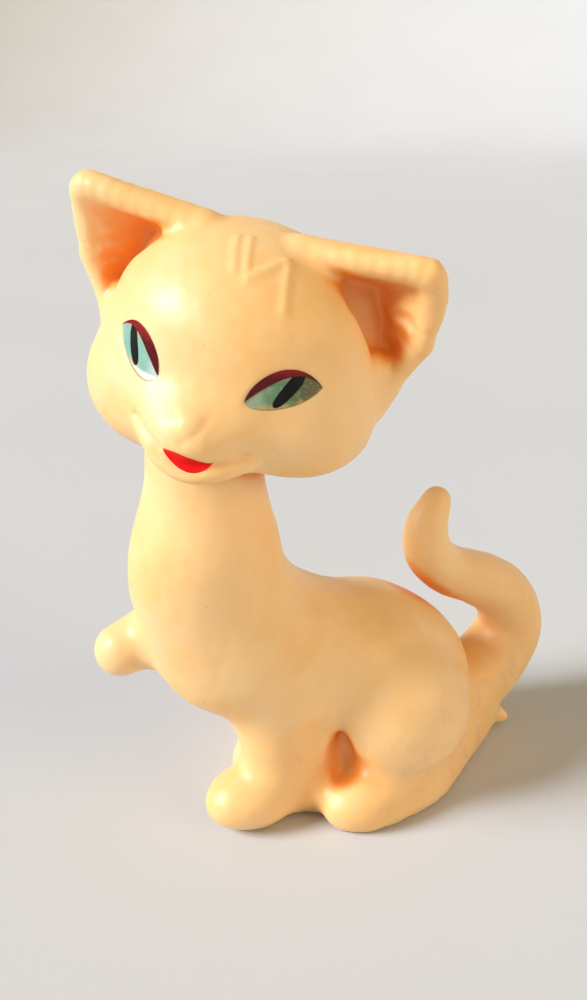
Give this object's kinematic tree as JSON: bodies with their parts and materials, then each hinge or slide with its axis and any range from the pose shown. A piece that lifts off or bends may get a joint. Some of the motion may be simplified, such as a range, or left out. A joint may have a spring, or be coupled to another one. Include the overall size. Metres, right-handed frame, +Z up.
{
  "type": "cat squeeze toy",
  "caption": "Hollow soft-vinyl toy cat sitting with one forepaw raised and its tail curled up, with a separate head that turns on the neck and a squeaker in the flat base.",
  "frame": {"origin": "middle of the flat base, on the surface that the cat stands on", "axes": "+Z up; -Y is the way the cat's chest faces; +X is the cat's left"},
  "size_m": [0.0731, 0.1415, 0.1675],
  "materials": {
    "vinyl": "satin soft vinyl, slightly translucent, yellowed with age",
    "iris_paint": "glossy paint, grey-green",
    "pupil_paint": "glossy black paint",
    "lid_paint": "glossy maroon paint",
    "mouth_paint": "satin red paint",
    "squeaker_metal": "drawn sheet, dull",
    "squeaker_plastic": "moulded, off-white",
    "reed_brass": "thin rolled strip"
  },
  "bodies": {
    "body": {"body_shell": "vinyl", "squeaker_cup": "squeaker_metal", "squeaker_reed_plate": "squeaker_plastic", "squeaker_reed": "reed_brass", "squeaker_wedge": "squeaker_plastic"},
    "head": {"head_shell": "vinyl", "left_iris": "iris_paint", "right_iris": "iris_paint", "left_pupil": "pupil_paint", "right_pupil": "pupil_paint", "left_lid_line": "lid_paint", "right_lid_line": "lid_paint", "mouth_paint": "mouth_paint"}
  },
  "joints": [
    {"name": "head_swivel", "type": "hinge", "parent": "body", "child": "head", "pos_m": [0, -0.043, 0.1122], "axis": [0, 0, 1], "continuous": true}
  ]
}
